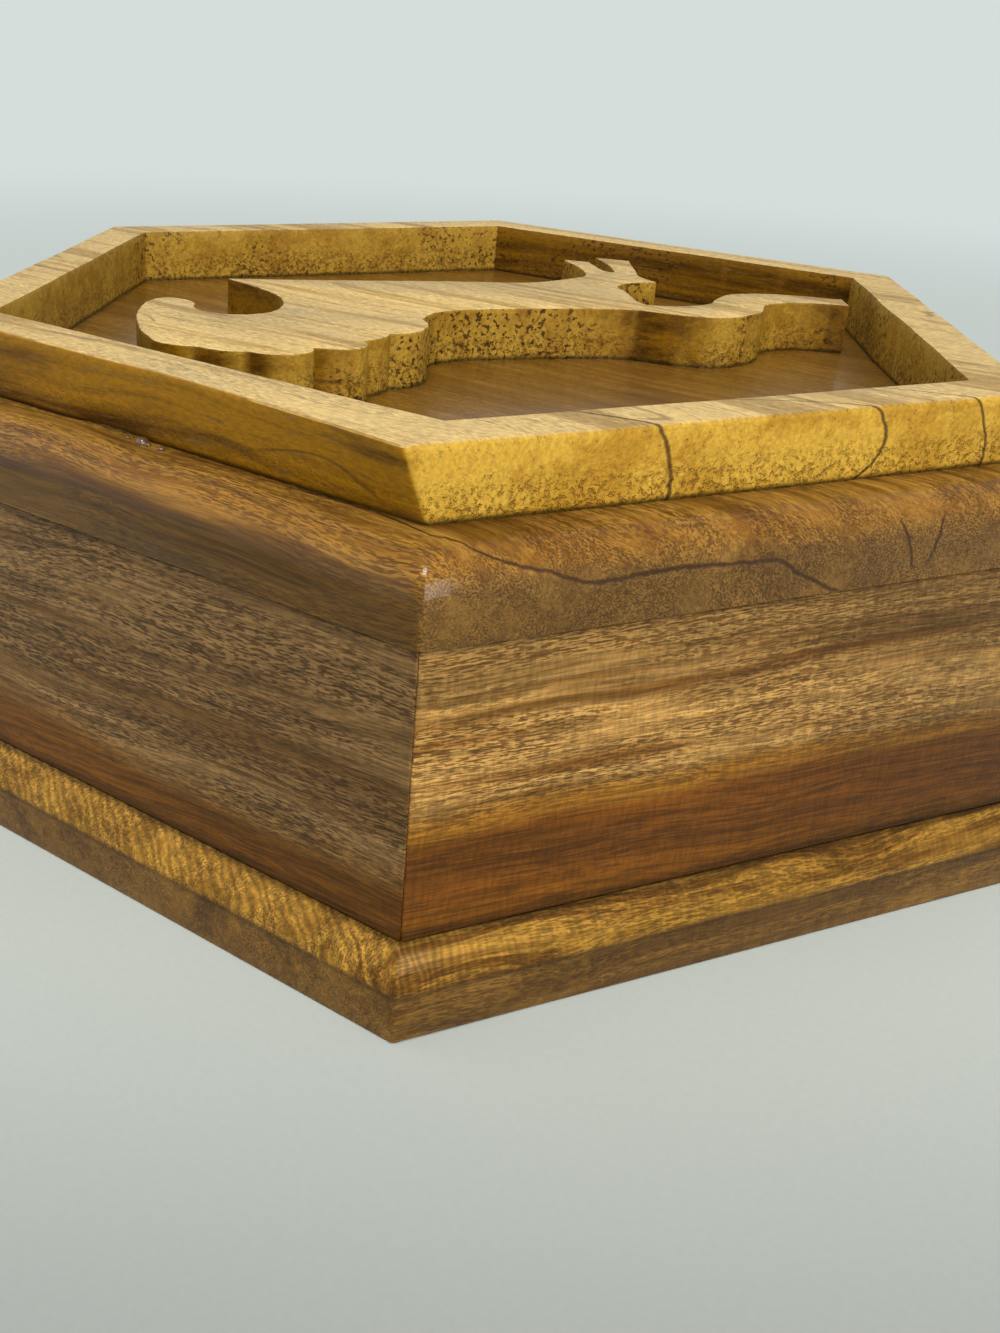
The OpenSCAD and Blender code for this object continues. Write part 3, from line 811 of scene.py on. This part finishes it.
def horseOutline():
    # the figure's outline, read round the top of its CAD solid
    solid = bmesh.new()
    solid.from_mesh(nodes["lid_horse"].data)
    bmesh.ops.remove_doubles(solid, verts=solid.verts, dist=1e-6)
    high = max(v.co.z for v in solid.verts)
    onTop = lambda face: all(abs(v.co.z - high) < 1e-6 for v in face.verts)
    links = {}
    for edge in solid.edges:
        if sum(onTop(f) for f in edge.link_faces) == 1:
            a, b = edge.verts
            links.setdefault(a.index, []).append(b.index)
            links.setdefault(b.index, []).append(a.index)
    solid.verts.ensure_lookup_table()
    start = min(links)
    order, current = [start], links[start][0]
    while current != start:
        order.append(current)
        current = next(i for i in links[current] if i != order[-2])
    points = [Vector((solid.verts[i].co.x, solid.verts[i].co.y, 0)) / mm for i in order]
    solid.free()
    area = sum(a.x * b.y - b.x * a.y for a, b in zip(points, points[1:] + points[:1]))
    return points if area > 0 else points[::-1]


def makeHorse():
    step, sawDepth, sawSize, tornDepth, tornSize, easing = horseShape.values()
    low, high = box["lidTop"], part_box("lid_horse")[1][2] / mm
    height = high - low
    corners = horseOutline()
    points = []
    for a, b in zip(corners, corners[1:] + corners[:1]):
        count = max(1, round((b - a).length / step))
        points += [a.lerp(b, i / count) for i in range(count)]
    normals = []
    for i, point in enumerate(points):
        along = (points[(i + 1) % len(points)] - points[i - 1]).normalized()
        normals.append(Vector((along.y, -along.x, 0)))
    # height of each round of points, and how far the eased upper edge draws it in
    rounds = [(level, 0.0) for level in (0, 0.5, 1.5, 3.5, 6, 8.5)]
    rounds += [(height - 0.35, 0.05), (height - 0.1, easing * 0.4), (height, easing)]
    rings = []
    for level, ease in rounds:
        ring = []
        frayed = 1 + 2 * (1 - level / height) ** 4
        for point, outward in zip(points, normals):
            # saw marks run up the sides, and the lower edge is torn
            saw = noise.noise(Vector((point.x, point.y, level * 0.2)) / sawSize) * sawDepth
            torn = noise.noise(Vector((point.x, point.y, level)) / tornSize) * tornDepth * frayed
            ring.append(Vector((point.x, point.y, low + level)) + outward * (saw + torn - 0.1 - ease))
        rings.append(ring)
    finishPiece("lidHorse", loft(rings), spaltMaterial("horse_spalted", 151.0, 0.8, 0.9, ()), "lid",
                "spalted_wood", "lid_horse", smoothAngle=40)


feltShape = dict(apothem=box["wall"] - box["wallThickness"] - 0.3, low=box["foot"], thickness=1.5, waves=(4, 0.12))


def makeFelt():
    reach, low, thickness, waves = feltShape.values()
    high = low + thickness
    rings = hexRings([(reach - 0.2, low, 0.6), (reach, low + 0.4, 0.8), (reach, high - 0.5, 0.8),
                      (reach - 0.2, high - 0.12, 0.8), (reach - 0.7, high, 0.8), (reach - 5, high, 0.8)], 48)
    for point in rings[-2] + rings[-3]:
        point.z += rough(point, *waves)
    felt = finishPiece("floorFelt", loft(rings), feltMaterial(), "box", "felt", "floor_felt")


# Beads of dried glue along the foot of the rim: place and size
glueBeads = [(-0.6, -80.4, 0.85), (0.7, -80.6, 0.45), (3.2, -80.7, 0.5), (-3.6, -80.2, 0.35)]


def makeGlue():
    mesh = bmesh.new()
    for i, (x, y, size) in enumerate(glueBeads):
        made = bmesh.ops.create_icosphere(mesh, subdivisions=3, radius=size)["verts"]
        for vert in made:
            vert.co *= 1 + rough(vert.co, 0.8, 0.25, i)
            vert.co.z = max(vert.co.z * 0.75, -size * 0.3)
            vert.co += Vector((x, y, box["lidTop"] + size * 0.25))
    finishPiece("glueBeads", mesh, glueMaterial(), "lid", "lid_wood", smoothAngle=180)


screwShape = dict(head=2.0, sink=1.0, shank=1.0, tip=0.15, taper=1.8, root=0.8, pitch=0.35, threads=9,
                  slotWidth=0.55, slotDepth=0.45, steps=32, firstTurn=0.6, nextTurn=1.3)


def islandsOf(solid):
    # the separate screws of a CAD node that holds several
    left = set(solid.verts)
    while left:
        island, todo = set(), [next(v for v in solid.verts if v in left)]
        while todo:
            vert = todo.pop()
            if vert not in island:
                island.add(vert)
                todo += [edge.other_vert(vert) for edge in vert.link_edges]
        left -= island
        yield island


def makeScrews(name, material, body):
    # slotted countersunk screws in the places of the CAD node's own
    (head, sink, shank, tip, taper, root, pitch, threads, slotWidth, slotDepth, steps, firstTurn,
     nextTurn) = screwShape.values()
    up = -1 if body == "lid" else 1
    solid = bmesh.new()
    solid.from_mesh(nodes[name].data)
    bmesh.ops.remove_doubles(solid, verts=solid.verts, dist=1e-6)
    mesh = bmesh.new()
    for index, island in enumerate(islandsOf(solid)):
        xs, ys, zs = ([v.co[k] / mm for v in island] for k in range(3))
        face, end = (max(zs), min(zs)) if up > 0 else (min(zs), max(zs))
        middle = Vector(((min(xs) + max(xs)) / 2, (min(ys) + max(ys)) / 2, face))
        x, y, _ = middle
        length = abs(face - end)
        # radius and depth from the tip up to the middle of the head
        profile = [(shank * tip, -length), (shank, -length + taper)]
        profile += [(shank * (1 if i % 2 else root), -length + taper + pitch * i) for i in range(1, threads + 1)]
        profile += [(shank, -sink), (head - 0.12, -0.12), (head, -0.04), (head - 0.1, 0), (1.5, 0), (1.0, 0), (0.5, 0)]
        turns = [2 * pi * i / steps for i in range(steps)]
        rings = [[Vector((x + radius * cos(a), y + radius * sin(a), face + up * depth)) for a in turns]
                 for radius, depth in profile]
        part = loft(rings)
        bmesh.ops.recalc_face_normals(part, faces=part.faces)
        screw = addMesh("screw", part)
        spin = Matrix.Rotation(firstTurn + index * nextTurn, 3, "Z")
        reach, side = head + 0.5, slotWidth / 2
        slot = [Vector((across, over, deep * up)) for across in (-reach, reach) for over in (-side, side)
                for deep in (-slotDepth, 0.5)]
        cutAway(screw, [makeBlock([spin @ corner + middle for corner in slot])])
        mesh.from_mesh(screw.data)
        bpy.data.objects.remove(screw)
    solid.free()
    finishPiece(camel(name), mesh, material, body, "hinge_brass", name, smoothAngle=30)


makeBase()
print("base board made")
for wallName, wallLook in wallLooks.items():
    makeWall(wallName, wallLook)
print("six walls made")
makeFelt()
makeLid()
makeRim()
makeHorse()
makeGlue()
print("felt, lid, rim, horse and glue made")

brass = brassMaterial("hinge_brass_leaf", 1.0)
pinBrass = brassMaterial("hinge_brass_pin", 1.12)
for nodeName, cadNode in nodes.items():
    if nodeName.startswith("hinge_"):
        finish = pinBrass if nodeName.endswith("_pin") else brass
        if not cadNode.material_slots:
            cadNode.data.materials.append(finish)
        for socket in cadNode.material_slots:
            socket.material = finish
makeScrews("box_screws", pinBrass, "box")
makeScrews("lid_screws", pinBrass, "lid")
print("hinges and screws finished")


# Floor, light and camera

# The floor's shade at places in metres toward the near corner, its darker band in front a painted shadow, its hue, and
# how far off it turns into the sky
stageLook = dict(
    paintedFloorShades=((-0.5, 0.70), (0.0, 0.64), (0.08, 0.55), (0.17, 0.33), (0.30, 0.35), (0.8, 0.56)), hue=(0.93, 1.0, 0.93),
    toward=(0.596, -0.803, 0), start=-0.5, span=1.3, radius=12, fade=(0.2, 0.9), sky=(0.66, 0.73, 0.705),
    lightColour=(0.93, 0.97, 1.0), light=0.5)


def makeStage():
    paintedFloorShades, hue, direction, start, span, radius, fade, sky, lightColour, light = stageLook.values()
    mesh = bmesh.new()
    bmesh.ops.create_circle(mesh, cap_ends=True, segments=96, radius=radius)
    floor = addMesh("floor", mesh)
    material, tree, shader, _ = startMaterial("floor_paper")
    place = coordsOf(tree)["Object"]
    toward = vec(tree, "DOT_PRODUCT", place, direction, "Value")
    # painted shadow: the floor's colour darkens in a band toward the near corner
    ramp = tree.nodes.new("ShaderNodeValToRGB")
    ramp.color_ramp.interpolation = "EASE"
    for i, (at, shade) in enumerate(paintedFloorShades):
        stop = ramp.color_ramp.elements[i] if i < 2 else ramp.color_ramp.elements.new(1.0)
        stop.position, stop.color = (at - start) / span, (*scaled(hue, shade), 1)
    tree.links.new(times(tree, calc(tree, "ADD", toward, -start), 1 / span), ramp.inputs[0])
    fine = noiseAt(tree, place, (900, 900, 900), 3, 0.6)
    paper = tint(tree, ramp.outputs[0], remap(tree, fine, 0.3, 0.7, 0.985, 1.015))
    feed(tree, shader, {"Base Color": paper, "Roughness": 0.75, "Specular IOR Level": 0.2})
    # far away the floor turns into the sky's plain colour
    glow = put(tree, "ShaderNodeEmission", {"Color": (*sky, 1), "Strength": 1.0})
    reach = vec(tree, "LENGTH", place, None, "Value")
    ray = tree.nodes.new("ShaderNodeLightPath").outputs
    seen = calc(tree, "MAXIMUM", ray["Is Camera Ray"], ray["Is Glossy Ray"])
    away = times(tree, remap(tree, reach, *fade), seen)
    blend = put(tree, "ShaderNodeMixShader", {0: away, 1: shader.outputs[0], 2: glow})
    tree.links.new(blend, tree.nodes["Material Output"].inputs["Surface"])
    floor.data.materials.append(material)

    world = bpy.data.worlds.new("studio")
    bpy.context.scene.world = world
    world.use_nodes = True
    tree = world.node_tree
    back = tree.nodes["Background"]
    feed(tree, back, {"Color": (*lightColour, 1), "Strength": light})
    seen = put(tree, "ShaderNodeBackground", {"Color": (*sky, 1), "Strength": 1.0})
    ray = put(tree, "ShaderNodeLightPath", {}, "Is Camera Ray")
    blend = put(tree, "ShaderNodeMixShader", {0: ray, 1: back.outputs[0], 2: seen})
    tree.links.new(blend, tree.nodes["World Output"].inputs["Surface"])


lamps = {
    "softboxRight": dict(at=(0.68, -0.46, 0.48), size=(0.7, 0.5), power=7.0, colour=(1.0, 0.97, 0.93)),
    "softboxFront": dict(at=(0.12, -0.42, 1.0), size=(0.2, 0.2), power=3.4, colour=(1.0, 0.99, 0.97)),
    "softboxLeft": dict(at=(-0.8, -0.6, 0.45), size=(1.4, 0.9), power=2.2, colour=(1.0, 0.98, 0.95)),
}


def makeLamps():
    target = Vector((0, 0, 0.05))
    for name, lamp in lamps.items():
        data = bpy.data.lights.new(name, "AREA")
        data.shape, data.size, data.size_y = "RECTANGLE", *lamp["size"]
        data.energy, data.color = lamp["power"], lamp["colour"]
        thing = addObject(name, data)
        thing.location = lamp["at"]
        thing.rotation_euler = (target - Vector(lamp["at"])).to_track_quat("-Z", "Y").to_euler()


# Place and direction of the camera: place in metres, angles in degrees, lens and sensor in millimetres
cameraLook = dict(at=(0.12567, -0.20058, 0.11858), azimuth=35.99, elevation=25.13, roll=2.72, lens=36.06,
                  sensor=36, shift=(0.0975, -0.0225))


def makeCamera():
    at, *angles, lens, sensor, shift = cameraLook.values()
    azimuth, elevation, roll = (radians(angle) for angle in angles)
    back = Vector((sin(azimuth) * cos(elevation), -cos(azimuth) * cos(elevation), sin(elevation)))
    level = Vector((cos(azimuth), sin(azimuth), 0))
    upward = back.cross(level)
    right = level * cos(roll) + upward * sin(roll)
    up = upward * cos(roll) - level * sin(roll)
    data = bpy.data.cameras.new("camera")
    data.lens, data.sensor_width, data.sensor_fit = lens, sensor, "AUTO"
    data.shift_x, data.shift_y = shift
    data.clip_start = 0.01
    camera = addObject("camera", data)
    camera.matrix_world = Matrix((right, up, back)).transposed().to_4x4()
    camera.location = at
    bpy.context.scene.camera = camera


makeStage()
makeLamps()
makeCamera()
bpy.context.scene.view_settings.view_transform = "Standard"
print("floor, lamps and camera placed")
